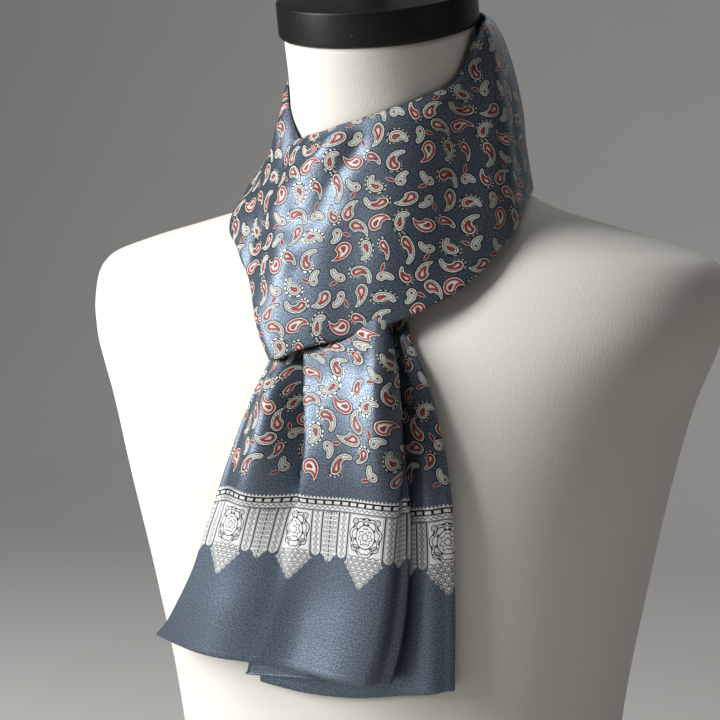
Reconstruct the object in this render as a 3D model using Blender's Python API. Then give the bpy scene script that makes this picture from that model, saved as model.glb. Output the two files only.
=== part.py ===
"""A silk scarf looped round the neck of a limbless tabletop dress form.

Units are metres, +Z is up, the front faces -Y and the wearer's left is +X.
The origin is the middle of the underside of the base board.
Angles go round the vertical from the front (-Y), positive towards +X.
"""

import math
from collections import namedtuple

import bmesh
import bpy
from mathutils import Vector

# ---- driving sizes -------------------------------------------------------------
GAP = 0.0003  # between pieces that touch
CLOTH = 0.0012  # wall of the doubled silk

BOARD_HEIGHT = 0.014
BOARD_INSET = 0.004  # the board is this much smaller than the form all round
BOARD_CHAMFER = 0.0015
NECK_TOP = 0.600  # height of the middle of the neck's top
NECK_LEAN = math.radians(13)  # the neck's top tilts forwards
LEAN_FROM = 0.520  # height where the neck starts to lean
CAP_RADIUS = 0.0647
CAP_HEIGHT = 0.023
CAP_EDGE = 0.003
CAP_CROWN = 0.0012  # the cap's top rises this much towards the knob
KNOB_RADIUS = 0.014
KNOB_HEIGHT = 0.030

WRAP_AXIS_Y = -0.015  # the loop's sections turn round this upright line
WRAP_ENDS = (-100.0, 114.0)  # degrees, where the front of the loop meets the back of the neck
SEAM_DEGREES = 0.25  # half the gap there, 0.3 to 0.4 mm at the cloth
HEM_TURN = 0.014  # the cloth's length in the turn at the loop's folded edge
EDGE_ROLL = 0.0045  # the soft fold of the loop's upper edge stands out by this much
EDGE_RUN = 0.006
BULGE_SKEW = 1.3  # above 1 the loop is fullest above its middle
TURN_STEPS = 24  # short straight steps round that turn
COLUMN_CROWDING = 1.5  # above 1 the columns sit closer together towards the lower edge
TAIL_BEND = 0.125  # the radius that turns a length across the chest into an angle

FORM_SIDES = 40
FORM_RINGS_BETWEEN = 24
WRAP_ROWS = 34
WRAP_COLUMNS = 16
COLLAR_ROWS = 18
COLLAR_COLUMNS = 10
ROUND_SIDES = 40

# ---- tables --------------------------------------------------------------------
FormRing = namedtuple("FormRing", "z half_width half_depth centre_y squareness")
FORM = [
    FormRing(0.0143, 0.150, 0.112, 0.004, 2.30),
    FormRing(0.080, 0.142, 0.103, 0.002, 2.30),
    FormRing(0.160, 0.150, 0.107, 0.000, 2.30),
    FormRing(0.240, 0.166, 0.115, -0.002, 2.30),
    FormRing(0.310, 0.182, 0.122, -0.004, 2.35),
    FormRing(0.360, 0.196, 0.120, -0.002, 2.40),
    FormRing(0.400, 0.212, 0.112, 0.002, 2.40),
    FormRing(0.432, 0.218, 0.098, 0.006, 2.30),
    FormRing(0.451, 0.210, 0.087, 0.008, 2.20),
    FormRing(0.463, 0.180, 0.080, 0.008, 2.10),
    FormRing(0.474, 0.141, 0.074, 0.006, 2.05),
    FormRing(0.485, 0.104, 0.070, 0.002, 2.00),
    FormRing(0.500, 0.079, 0.067, -0.005, 2.00),
    FormRing(0.520, 0.067, 0.0645, -0.014, 2.00),
    FormRing(0.545, 0.063, 0.0625, -0.023, 2.00),
    FormRing(0.575, 0.061, 0.061, -0.032, 2.00),
    FormRing(NECK_TOP, 0.061, 0.061, -0.039, 2.00),
]

# One row for each section of the loop, round the axis: the radius and height of
# its upper and lower edge, how far it stands out between them, and how far the
# lower edge turns under and runs back up.
WrapSection = namedtuple("WrapSection", "angle top_r top_z low_r low_z bulge turn under")
WRAP = [
    WrapSection(-100, 0.0600, 0.586, 0.0960, 0.497, -0.003, 0, 0.000),
    WrapSection(-80, 0.0665, 0.574, 0.0985, 0.491, -0.010, 20, 0.000),
    WrapSection(-68, 0.0700, 0.565, 0.1060, 0.481, -0.011, 90, 0.000),
    WrapSection(-60, 0.0710, 0.556, 0.1085, 0.470, -0.009, 150, 0.004),
    WrapSection(-52, 0.0715, 0.547, 0.1065, 0.461, -0.005, 170, 0.008),
    WrapSection(-44, 0.0714, 0.537, 0.1070, 0.449, -0.002, 175, 0.010),
    WrapSection(-38, 0.0708, 0.530, 0.1085, 0.438, 0.000, 175, 0.010),
    WrapSection(-30, 0.0713, 0.532, 0.1120, 0.424, 0.001, 165, 0.006),
    WrapSection(-25, 0.0716, 0.533, 0.1160, 0.411, 0.001, 125, 0.002),
    WrapSection(-20, 0.0720, 0.534, 0.1210, 0.396, 0.001, 45, 0.000),
    WrapSection(-16, 0.0722, 0.535, 0.1205, 0.394, 0.001, 15, 0.000),
    WrapSection(-8, 0.0730, 0.538, 0.1150, 0.401, 0.001, 5, 0.000),
    WrapSection(6, 0.0737, 0.543, 0.1085, 0.408, 0.001, 0, 0.000),
    WrapSection(22, 0.0745, 0.550, 0.1085, 0.418, 0.001, 0, 0.000),
    WrapSection(38, 0.0745, 0.557, 0.1110, 0.432, 0.000, 0, 0.000),
    WrapSection(50, 0.0732, 0.564, 0.1115, 0.447, 0.000, 0, 0.000),
    WrapSection(58, 0.0720, 0.573, 0.1100, 0.461, 0.000, 0, 0.000),
    WrapSection(66, 0.0708, 0.589, 0.1085, 0.473, 0.000, 0, 0.000),
    WrapSection(74, 0.0700, 0.601, 0.1035, 0.484, 0.002, 0, 0.000),
    WrapSection(84, 0.0660, 0.606, 0.0970, 0.492, 0.004, 0, 0.000),
    WrapSection(98, 0.0600, 0.609, 0.0930, 0.497, 0.0055, 0, 0.000),
    WrapSection(114, 0.0565, 0.611, 0.0910, 0.500, 0.0055, 0, 0.000),
]
COLLAR = [
    WRAP[-1],
    WrapSection(135, 0.0510, 0.612, 0.0935, 0.496, 0.005, 0, 0.000),
    WrapSection(160, 0.0480, 0.612, 0.0970, 0.490, 0.004, 0, 0.000),
    WrapSection(185, 0.0475, 0.610, 0.0985, 0.489, 0.004, 0, 0.000),
    WrapSection(210, 0.0490, 0.605, 0.0970, 0.490, 0.003, 0, 0.000),
    WrapSection(235, 0.0530, 0.597, 0.0955, 0.493, 0.000, 0, 0.000),
    WRAP[0]._replace(angle=260),
]

# One row for each height of a hanging end, from its hidden top to its hem: the
# angles and heights of its left and right edges, how far its face and the layer
# turned behind it stand off the form, how strong its fold is there, and where it
# starts: a share of the width in front, and an angle on the rear end's rolled side.
TailRow = namedtuple("TailRow", "drop left right z_left z_right face behind fold fold_at")
FRONT_TAIL = [
    TailRow(0.00, -15, 15, 0.447, 0.452, 0.0080, 0.0050, 0.25, 0.26),
    TailRow(0.20, -19, 18, 0.393, 0.413, 0.0080, 0.0050, 0.45, 0.28),
    TailRow(0.30, -22, 20, 0.371, 0.389, 0.0085, 0.0052, 1.00, 0.39),
    TailRow(0.45, -27, 22, 0.333, 0.354, 0.0090, 0.0055, 0.75, 0.47),
    TailRow(0.63, -35, 24, 0.285, 0.311, 0.0105, 0.0062, 0.25, 0.45),
    TailRow(0.75, -41, 24, 0.255, 0.268, 0.0120, 0.0070, 0.14, 0.44),
    TailRow(0.90, -51, 22, 0.221, 0.222, 0.0140, 0.0085, 0.08, 0.44),
    TailRow(1.00, -58, 19, 0.206, 0.194, 0.0150, 0.0095, 0.06, 0.44),
]
REAR_TAIL = [
    TailRow(0.00, -8, 22, 0.440, 0.444, 0.0024, 0.0022, 0.5, 16.5),
    TailRow(0.15, -9, 23, 0.405, 0.412, 0.0026, 0.0022, 0.5, 19.3),
    TailRow(0.28, -12, 28, 0.375, 0.384, 0.0027, 0.0022, 0.8, 21.6),
    TailRow(0.42, -16, 32, 0.335, 0.345, 0.0028, 0.0022, 1.0, 23.8),
    TailRow(0.60, -20, 34.5, 0.290, 0.300, 0.0030, 0.0022, 1.0, 25.7),
    TailRow(0.80, -24, 35.5, 0.235, 0.245, 0.0034, 0.0024, 1.0, 25.0),
    TailRow(1.00, -26, 36, 0.186, 0.190, 0.0040, 0.0026, 1.0, 21.5),
]

FOLD_WIDTH = 0.07  # share of the front end's width
FOLD_OVERLAP = 4.0  # degrees that the deep fold reaches over the cloth beside it
FOLD_HEIGHT = 0.011
FOLD_FADE = 0.40  # share of the width over which the fold's high side falls away
FOLD_STEEPNESS = 1.3
EDGE_FADE = 0.30  # share of the width over which it comes down to the right edge
SIDE_ROLL = 0.0035  # the rounded strip left of the fold
FRONT_BEHIND = 46.0  # degrees of cloth turned behind the front end, fewer towards its top
FRONT_BEHIND_TOP = 0.2
BEHIND_DROP = 0.003  # that layer hangs this much lower
REAR_BEHIND = 0.35  # share of the rolled side's width
REAR_ROLL = 0.0075  # the rear end's rolled side stands this much further off
REAR_HEM_DIP = 0.007

# columns across an end: its face, the turn at its right edge and the layer behind
FRONT_COLUMNS = (26, 4, 7)
FRONT_TAIL_ROWS = 16
REAR_COLUMNS = (17, 4, 2)
REAR_TAIL_ROWS = 13

COLOURS = {
    "form_cover": (0.80, 0.77, 0.70, 0.85, 0.0),
    "black_cap": (0.018, 0.016, 0.015, 0.40, 0.0),
    "black_board": (0.020, 0.018, 0.017, 0.50, 0.0),
    "silk": (0.105, 0.135, 0.190, 0.40, 0.0),
}


# ---- helpers -------------------------------------------------------------------
def clear_scene():
    for found in list(bpy.data.objects):
        bpy.data.objects.remove(found, do_unlink=True)


def material(name):
    red, green, blue, roughness, metallic = COLOURS[name]
    made = bpy.data.materials.get(name) or bpy.data.materials.new(name)
    made.use_nodes = True
    shader = made.node_tree.nodes["Principled BSDF"]
    shader.inputs["Base Color"].default_value = (red, green, blue, 1)
    shader.inputs["Roughness"].default_value = roughness
    shader.inputs["Metallic"].default_value = metallic
    return made


def add_object(name, shape, material_name):
    mesh = bpy.data.meshes.new(name)
    bmesh.ops.recalc_face_normals(shape, faces=shape.faces)
    shape.to_mesh(mesh)
    shape.free()
    mesh.shade_smooth()
    mesh.set_sharp_from_angle(angle=math.radians(40))
    mesh.materials.append(material(material_name))
    made = bpy.data.objects.new(name, mesh)
    bpy.context.scene.collection.objects.link(made)
    return made


def between(rows, at):
    """The row of a table at a value of its first column, on a smooth curve through the rows."""
    at = min(max(at, rows[0][0]), rows[-1][0])
    k = 0
    while k < len(rows) - 2 and at > rows[k + 1][0]:
        k += 1
    step = rows[k + 1][0] - rows[k][0]
    t = (at - rows[k][0]) / step

    def slope(index, column):
        low = max(index - 1, 0)
        high = min(index + 1, len(rows) - 1)
        return (rows[high][column] - rows[low][column]) / (rows[high][0] - rows[low][0])

    values = [at]
    for column in range(1, len(rows[k])):
        start = rows[k][column]
        end = rows[k + 1][column]
        values.append(
            (2 * t**3 - 3 * t**2 + 1) * start
            + (t**3 - 2 * t**2 + t) * step * slope(k, column)
            + (3 * t**2 - 2 * t**3) * end
            + (t**3 - t**2) * step * slope(k + 1, column)
        )
    return type(rows[0])(*values)


def mix(a, b, t):
    return a + (b - a) * t


def smooth(t):
    t = min(max(t, 0.0), 1.0)
    return t * t * (3 - 2 * t)


# ---- the form ------------------------------------------------------------------
def form_point(degrees, z, lift=0.0):
    """A point on the form's surface at an angle and height, moved straight out by lift."""
    ring = between(FORM, z)
    across = math.sin(math.radians(degrees))
    ahead = math.cos(math.radians(degrees))
    n = ring.squareness
    reach = (abs(across / ring.half_width) ** n + abs(ahead / ring.half_depth) ** n) ** (-1 / n)
    return Vector(((reach + lift) * across, ring.centre_y - (reach + lift) * ahead, z))


def form_heights():
    """Ring heights, closer together where the shoulders turn in."""
    heights = []
    for k in range(FORM_RINGS_BETWEEN + 1):
        place = k / FORM_RINGS_BETWEEN * (len(FORM) - 1)
        low = min(int(place), len(FORM) - 2)
        heights.append(mix(FORM[low].z, FORM[low + 1].z, place - low))
    return heights


def make_form():
    shape = bmesh.new()
    loop = bmesh.ops.create_circle(shape, segments=FORM_SIDES, radius=1, cap_ends=False)["verts"]
    turns = [360 * k / FORM_SIDES for k in range(FORM_SIDES)]
    loop.sort(key=lambda v: math.atan2(v.co.x, -v.co.y) % (2 * math.pi) + 1e-6)
    bottom = None
    heights = form_heights()
    for z in heights:
        if bottom is None:
            bottom = list(loop)
        else:
            edges = [e for e in shape.edges if e.verts[0] in loop and e.verts[1] in loop]
            made = bmesh.ops.extrude_edge_only(shape, edges=edges)["geom"]
            fresh = [v for v in made if isinstance(v, bmesh.types.BMVert)]
            old = {v: v.co.copy() for v in loop}
            loop = [min(fresh, key=lambda v, at=old[o]: (v.co - at).length) for o in loop]
        for v, degrees in zip(loop, turns):
            v.co = form_point(degrees, z)
        if z > LEAN_FROM:
            lean = math.tan(NECK_LEAN) * smooth((z - LEAN_FROM) / (NECK_TOP - LEAN_FROM))
            for v in loop:
                v.co.z += (v.co.y - between(FORM, z).centre_y) * lean
    bmesh.ops.contextual_create(shape, geom=bottom)
    bmesh.ops.contextual_create(shape, geom=loop)
    add_object("form_body", shape, "form_cover")


def make_board():
    shape = bmesh.new()
    loop = bmesh.ops.create_circle(shape, segments=FORM_SIDES, radius=1, cap_ends=True)["verts"]
    for v in loop:
        place = form_point(math.degrees(math.atan2(v.co.x, -v.co.y)), FORM[0].z, -BOARD_INSET)
        v.co = (place.x, place.y, 0)
    top = bmesh.ops.extrude_face_region(shape, geom=list(shape.faces))["geom"]
    top_verts = [v for v in top if isinstance(v, bmesh.types.BMVert)]
    bmesh.ops.translate(shape, vec=(0, 0, BOARD_HEIGHT), verts=top_verts)
    rims = [e for e in shape.edges if abs(e.verts[0].co.z - e.verts[1].co.z) < GAP]
    bmesh.ops.bevel(
        shape, geom=rims, offset=BOARD_CHAMFER, segments=1, profile=0.5, affect="EDGES", material=-1
    )
    add_object("form_base", shape, "black_board")


def turned(profile, sides):
    """A solid turned from (radius, height) pairs, with its ends on the axis."""
    shape = bmesh.new()
    verts = [shape.verts.new((radius, 0, z)) for radius, z in profile]
    edges = [shape.edges.new(pair) for pair in zip(verts, verts[1:])]
    bmesh.ops.spin(
        shape,
        geom=verts + edges,
        cent=(0, 0, 0),
        axis=(0, 0, 1),
        angle=2 * math.pi,
        steps=sides,
        use_merge=True,
    )
    bmesh.ops.remove_doubles(shape, verts=shape.verts, dist=1e-6)
    return shape


def rounded(radius, z, edge, up):
    """Three points round a corner of a turned profile, above or below it."""
    points = []
    for k in range(3):
        a = math.radians(45 * k)
        points.append((radius - edge + edge * math.cos(a), z + up * (edge * math.sin(a) - edge)))
    return points


def make_cap():
    side = rounded(CAP_RADIUS, 0, CAP_EDGE, -1)[::-1] + rounded(CAP_RADIUS, CAP_HEIGHT, CAP_EDGE / 2, 1)
    profile = [(0, 0)] + side + [(KNOB_RADIUS, CAP_HEIGHT + CAP_CROWN), (0, CAP_HEIGHT + CAP_CROWN)]
    cap = add_object("neck_cap", turned(profile, ROUND_SIDES), "black_cap")
    knob_profile = [
        (0, 0),
        (KNOB_RADIUS, 0),
        (KNOB_RADIUS, KNOB_HEIGHT * 0.12),
        (KNOB_RADIUS * 0.62, KNOB_HEIGHT * 0.25),
        (KNOB_RADIUS * 0.55, KNOB_HEIGHT * 0.42),
        (KNOB_RADIUS * 0.95, KNOB_HEIGHT * 0.62),
        (KNOB_RADIUS * 0.98, KNOB_HEIGHT * 0.76),
        (KNOB_RADIUS * 0.62, KNOB_HEIGHT * 0.93),
        (0, KNOB_HEIGHT),
    ]
    knob = add_object("cap_finial", turned(knob_profile, ROUND_SIDES // 2), "black_cap")
    axis = Vector((0, -math.sin(NECK_LEAN), math.cos(NECK_LEAN)))
    foot = Vector((0, FORM[-1].centre_y, NECK_TOP))
    for piece, height in ((cap, GAP), (knob, CAP_HEIGHT + CAP_CROWN + 2 * GAP)):
        piece.rotation_euler = (NECK_LEAN, 0, 0)
        piece.location = foot + axis * height


# ---- the cloth -----------------------------------------------------------------
def cloth_wall(name, columns, rows, place):
    """A wall of cloth through place(row, column), both from 0 to 1."""
    shape = bmesh.new()
    grid = bmesh.ops.create_grid(shape, x_segments=columns, y_segments=rows, size=1)["verts"]
    for v in grid:
        v.co = place((v.co.y + 1) / 2, (v.co.x + 1) / 2)
    made = add_object(name, shape, "silk")
    wall = made.modifiers.new("wall", "SOLIDIFY")
    wall.thickness = CLOTH
    wall.offset = 0
    return made


def wrap_section(section, t):
    """The radius and height at share t of a section, from its upper edge down and round the turn."""
    across = section.low_r - section.top_r
    down = section.low_z - section.top_z
    length = math.hypot(across, down)
    outward = Vector((-down, across)).normalized()
    bend_all = math.radians(max(section.turn, 1))
    run = length - HEM_TURN / bend_all * math.sin(min(bend_all, math.pi / 2))

    def on_face(distance):
        share = distance / length
        out = section.bulge * math.sin(math.pi * (1 - (1 - min(share, 1)) ** BULGE_SKEW))
        out += EDGE_ROLL * (1 - math.exp(-distance / EDGE_RUN)) * (1 - share) ** 2
        return Vector((section.top_r + across * share, section.top_z + down * share)) + outward * out

    whole = run + HEM_TURN + section.under
    distance = whole * t
    if distance <= run:
        return on_face(distance)
    spot = on_face(run)
    heading = (on_face(run) - on_face(run - 0.001)).normalized()
    step = (distance - run) / TURN_STEPS
    for k in range(TURN_STEPS):
        bend = bend_all * min(step * (k + 0.5) / HEM_TURN, 1)
        spot = spot + step * Vector(
            (
                heading.x * math.cos(bend) + heading.y * math.sin(bend),
                heading.y * math.cos(bend) - heading.x * math.sin(bend),
            )
        )
    return spot


def loop_point(table, degrees, t):
    spot = wrap_section(between(table, degrees), 1 - (1 - t) ** COLUMN_CROWDING)
    turn = math.radians(degrees)
    return Vector((spot.x * math.sin(turn), WRAP_AXIS_Y - spot.x * math.cos(turn), spot.y))


def make_loop():
    first, last = WRAP_ENDS
    cloth_wall(
        "scarf_wrap",
        WRAP_COLUMNS,
        WRAP_ROWS,
        lambda row, column: loop_point(WRAP, mix(first + SEAM_DEGREES, last - SEAM_DEGREES, row), column),
    )
    start = COLLAR[0].angle + SEAM_DEGREES
    end = COLLAR[-1].angle - SEAM_DEGREES
    cloth_wall(
        "scarf_neck_back",
        COLLAR_COLUMNS,
        COLLAR_ROWS,
        lambda row, column: loop_point(COLLAR, mix(start, end, row), column),
    )


def across_tail(columns, column):
    """Which stretch of an end a column is in (0 face, 1 turn, 2 behind) and its share of it."""
    place = column * sum(columns)
    for stretch, count in enumerate(columns):
        if place <= count + 1e-6 or stretch == 2:
            return stretch, place / count
        place -= count


def front_face(row, share):
    """Angle and lift on the front end's face, with its deep fold."""
    w = (share - row.fold_at) / FOLD_WIDTH
    degrees = mix(row.left, row.right, share) - row.fold * FOLD_OVERLAP * w * math.exp(-w * w / 2)
    fade = math.exp(-max(share - row.fold_at, 0) / FOLD_FADE) * smooth((1 - share) / EDGE_FADE)
    high = FOLD_HEIGHT * row.fold * (0.5 + 0.5 * math.tanh(FOLD_STEEPNESS * w)) * fade
    roll = SIDE_ROLL * row.fold * math.sin(math.pi * min(share / row.fold_at, 1))
    return degrees, row.face + high + roll


def front_behind(row):
    return FRONT_BEHIND * smooth(2 * row.drop + FRONT_BEHIND_TOP)


def rear_behind(row):
    return REAR_BEHIND * (row.right - row.fold_at)


def rear_face(row, share):
    degrees = mix(row.left, row.right, share)
    out = smooth((degrees - row.fold_at) / (row.right - row.fold_at))
    return degrees, row.face + REAR_ROLL * out * row.fold


def tail_point(table, columns, face, behind, hem_dip, down, column):
    row = between(table, down)
    behind_degrees = behind(row)
    stretch, share = across_tail(columns, column)
    edge_degrees, edge_lift = face(row, 1)
    radius = (edge_lift - row.behind) / 2
    radius_degrees = math.degrees(radius / TAIL_BEND)
    if stretch == 0:
        degrees, lift = face(row, share)
        degrees -= radius_degrees * share
        z = mix(row.z_left, row.z_right, share)
        z -= hem_dip * math.sin(math.pi * share) * down**4
    elif stretch == 1:
        turn = math.pi * share
        degrees = edge_degrees - radius_degrees * (1 - math.sin(turn))
        lift = row.behind + radius * (1 + math.cos(turn))
        z = row.z_right
    else:
        degrees = edge_degrees - radius_degrees - behind_degrees * share
        lift = row.behind
        z = mix(row.z_right, row.z_left, behind_degrees * share / (row.right - row.left))
        z -= BEHIND_DROP * smooth(share * 2) * down
    return form_point(degrees, z, lift)


def make_tails():
    cloth_wall(
        "scarf_tail_front",
        sum(FRONT_COLUMNS),
        FRONT_TAIL_ROWS,
        lambda row, column: tail_point(
            FRONT_TAIL, FRONT_COLUMNS, front_face, front_behind, 0, row, column
        ),
    )
    cloth_wall(
        "scarf_tail_rear",
        sum(REAR_COLUMNS),
        REAR_TAIL_ROWS,
        lambda row, column: tail_point(
            REAR_TAIL, REAR_COLUMNS, rear_face, rear_behind, REAR_HEM_DIP, row, column
        ),
    )


def main():
    clear_scene()
    make_board()
    make_form()
    make_cap()
    make_loop()
    make_tails()


main()
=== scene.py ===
# %% [markdown]
# # A silk scarf on a dress form
# The real thing is a long piece of printed silk twill. It is folded lengthwise into a
# doubled band, laid round the neck, and both its ends are drawn down under the front of
# the loop. A padded form without limbs carries it, closed at the neck by a black cap.
#
# The solids come in first. They fix every size and place, so the cloth below is worked
# out from the same tables of sections and follows its solids closely.

import math
from collections import namedtuple

import bmesh
import bpy
from mathutils import Matrix, Vector


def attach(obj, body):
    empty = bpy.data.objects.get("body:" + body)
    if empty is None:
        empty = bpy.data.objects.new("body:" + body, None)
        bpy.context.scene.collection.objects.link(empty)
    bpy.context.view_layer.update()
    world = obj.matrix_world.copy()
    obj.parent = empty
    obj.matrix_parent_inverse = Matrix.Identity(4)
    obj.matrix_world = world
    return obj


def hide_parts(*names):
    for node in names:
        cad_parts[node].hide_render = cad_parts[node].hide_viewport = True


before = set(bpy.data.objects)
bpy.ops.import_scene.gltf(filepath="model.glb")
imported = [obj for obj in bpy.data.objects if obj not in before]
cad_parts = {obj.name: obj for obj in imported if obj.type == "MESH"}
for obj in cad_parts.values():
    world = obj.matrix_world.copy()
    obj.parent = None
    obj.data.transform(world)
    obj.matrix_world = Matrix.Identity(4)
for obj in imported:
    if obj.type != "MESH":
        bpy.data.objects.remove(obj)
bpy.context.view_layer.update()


# %% Small helpers for tables and curves
def mix(a, b, t):
    return a + (b - a) * t


def smooth(t):
    t = min(max(t, 0.0), 1.0)
    return t * t * (3 - 2 * t)


def bell(x):
    return math.exp(-x * x)


def between(rows, at):
    """The row of a table at a value of its first column, on a smooth curve through the rows."""
    at = min(max(at, rows[0][0]), rows[-1][0])
    k = 0
    while k < len(rows) - 2 and at > rows[k + 1][0]:
        k += 1
    step = rows[k + 1][0] - rows[k][0]
    t = (at - rows[k][0]) / step

    def slope(index, column):
        before = max(index - 1, 0)
        after = min(index + 1, len(rows) - 1)
        return (rows[after][column] - rows[before][column]) / (rows[after][0] - rows[before][0])

    values = [at]
    for column in range(1, len(rows[k])):
        start = rows[k][column]
        end = rows[k + 1][column]
        values.append(
            (2 * t**3 - 3 * t**2 + 1) * start
            + (t**3 - 2 * t**2 + t) * step * slope(k, column)
            + (3 * t**2 - 2 * t**3) * end
            + (t**3 - t**2) * step * slope(k + 1, column)
        )
    return type(rows[0])(*values)


# %% [markdown]
# ## Camera, floor and light
# The camera stands a little to the wearer's left and slightly above the knot, far off
# with a long lens, which is how such things are photographed. One large soft light from
# the upper left draws the folds of the silk, and weaker ones light the other side, the
# top and the back. The floor sweeps up behind the form, so the picture shows no edge.

# %% Place the camera
CAMERA_TURN = math.radians(22)
CAMERA_RISE = math.radians(5)
CAMERA_DISTANCE = 1.9
CAMERA_TARGET = Vector((-0.0250, -0.0101, 0.384))
VIEW_WIDTH = 0.4752  # metres across the picture at the target
SENSOR_WIDTH = 36.0


def aim(thing, target):
    """Turn a camera or a light, which look along their own -Z, towards a place."""
    thing.rotation_euler = (target - thing.location).to_track_quat("-Z", "Y").to_euler()


def around(turn, rise, distance, target):
    """A place at a distance from a target, seen from the front turned and raised by two angles."""
    flat = math.cos(rise)
    way = Vector((math.sin(turn) * flat, -math.cos(turn) * flat, math.sin(rise)))
    return target + way * distance


lens = bpy.data.cameras.new("camera")
lens.sensor_width = SENSOR_WIDTH
lens.lens = SENSOR_WIDTH * CAMERA_DISTANCE / VIEW_WIDTH
camera = bpy.data.objects.new("camera", lens)
camera.location = around(CAMERA_TURN, CAMERA_RISE, CAMERA_DISTANCE, CAMERA_TARGET)
aim(camera, CAMERA_TARGET)
bpy.context.scene.collection.objects.link(camera)
bpy.context.scene.camera = camera
print("lens:", round(lens.lens, 1), "mm")

# %% Floor and lights
FLOOR_HALF = 5.6
FLOOR_STRIPS = 50
SWEEP_RADIUS = 1.2
SWEEP_SIDE = 1.6  # the floor starts to rise this far behind the form
WALL_STRETCH = 3  # the rest of the sheet is drawn out upwards into the wall

Light = namedtuple("Light", "name turn rise distance width height power warmth")
LIGHTS = [
    Light("key", -50, 24, 1.7, 0.70, 1.70, 62.0, 1.00),
    Light("fill", 78, 12, 2.2, 1.60, 1.60, 2.5, 0.90),
    Light("top", 20, 80, 1.9, 1.20, 1.20, 3.0, 1.00),
    Light("back", 170, 35, 2.2, 1.40, 1.40, 5.0, 1.00),
]


def add_floor():
    shape = bmesh.new()
    bmesh.ops.create_grid(shape, x_segments=4, y_segments=FLOOR_STRIPS, size=FLOOR_HALF)
    arc = SWEEP_RADIUS * math.pi / 2
    for v in shape.verts:
        run = v.co.y
        turn = min(max(run - SWEEP_SIDE, 0.0), arc) / SWEEP_RADIUS
        climb = max(run - SWEEP_SIDE - arc, 0.0)
        v.co.y = min(run, SWEEP_SIDE) + SWEEP_RADIUS * math.sin(turn)
        v.co.z = SWEEP_RADIUS * (1 - math.cos(turn)) + climb * WALL_STRETCH
    mesh = bpy.data.meshes.new("floor")
    shape.to_mesh(mesh)
    shape.free()
    mesh.shade_smooth()
    floor = bpy.data.objects.new("floor", mesh)
    bpy.context.scene.collection.objects.link(floor)
    return floor


floor = add_floor()
for spec in LIGHTS:
    lamp = bpy.data.lights.new(spec.name, "AREA")
    lamp.shape = "RECTANGLE"
    lamp.size = spec.width
    lamp.size_y = spec.height
    lamp.energy = spec.power
    lamp.color = (1.0, spec.warmth, spec.warmth * spec.warmth)
    placed = bpy.data.objects.new(spec.name, lamp)
    turn, rise = math.radians(spec.turn), math.radians(spec.rise)
    placed.location = around(turn, rise, spec.distance, CAMERA_TARGET)
    aim(placed, CAMERA_TARGET)
    bpy.context.scene.collection.objects.link(placed)

SKY = (0.80, 0.82, 0.86, 1)
SKY_STRENGTH = 0.07
world = bpy.data.worlds.new("studio")
world.use_nodes = True
background = world.node_tree.nodes["Background"].inputs
background["Color"].default_value = SKY
background["Strength"].default_value = SKY_STRENGTH
bpy.context.scene.world = world
bpy.context.scene.view_settings.view_transform = "Standard"
print("lights:", [spec.name for spec in LIGHTS])

# %% [markdown]
# ## Writing shader maths as sums
# A print is a drawing in numbers: how far is this point of the cloth from the outline of
# a motif? Built by hand that takes hundreds of Math nodes. The class below wraps the
# output of a node, so that `a * b + 1` adds the nodes itself and the print can be
# written as ordinary expressions.


# %% A wrapper for sockets
class Wire:
    """The output of a shader node, used in ordinary sums."""

    def __init__(self, finish, socket):
        self.finish = finish
        self.socket = socket

    def maths(self, operation, *others, clamp=False):
        settings = {"operation": operation, "use_clamp": clamp}
        return self.finish.node("ShaderNodeMath", settings, dict(enumerate((self, *others))))

    def __add__(self, other):
        return self.maths("ADD", other)

    def __sub__(self, other):
        return self.maths("SUBTRACT", other)

    def __mul__(self, other):
        return self.maths("MULTIPLY", other)

    def __truediv__(self, other):
        return self.maths("DIVIDE", other)

    def __rsub__(self, other):
        return self.maths("MULTIPLY_ADD", -1.0, other)


def lesser(a, b):
    return a.maths("MINIMUM", b)


def greater(a, b):
    return a.maths("MAXIMUM", b)


def length(x, y):
    return (x * x + y * y).maths("SQRT")


def clamp(a):
    return a.maths("ADD", 0.0, clamp=True)


def past(a, edge, soft):
    """0 below an edge and 1 above it, turning over a small width."""
    return a.maths("MULTIPLY_ADD", 1 / soft, 0.5 - edge / soft, clamp=True)


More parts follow.
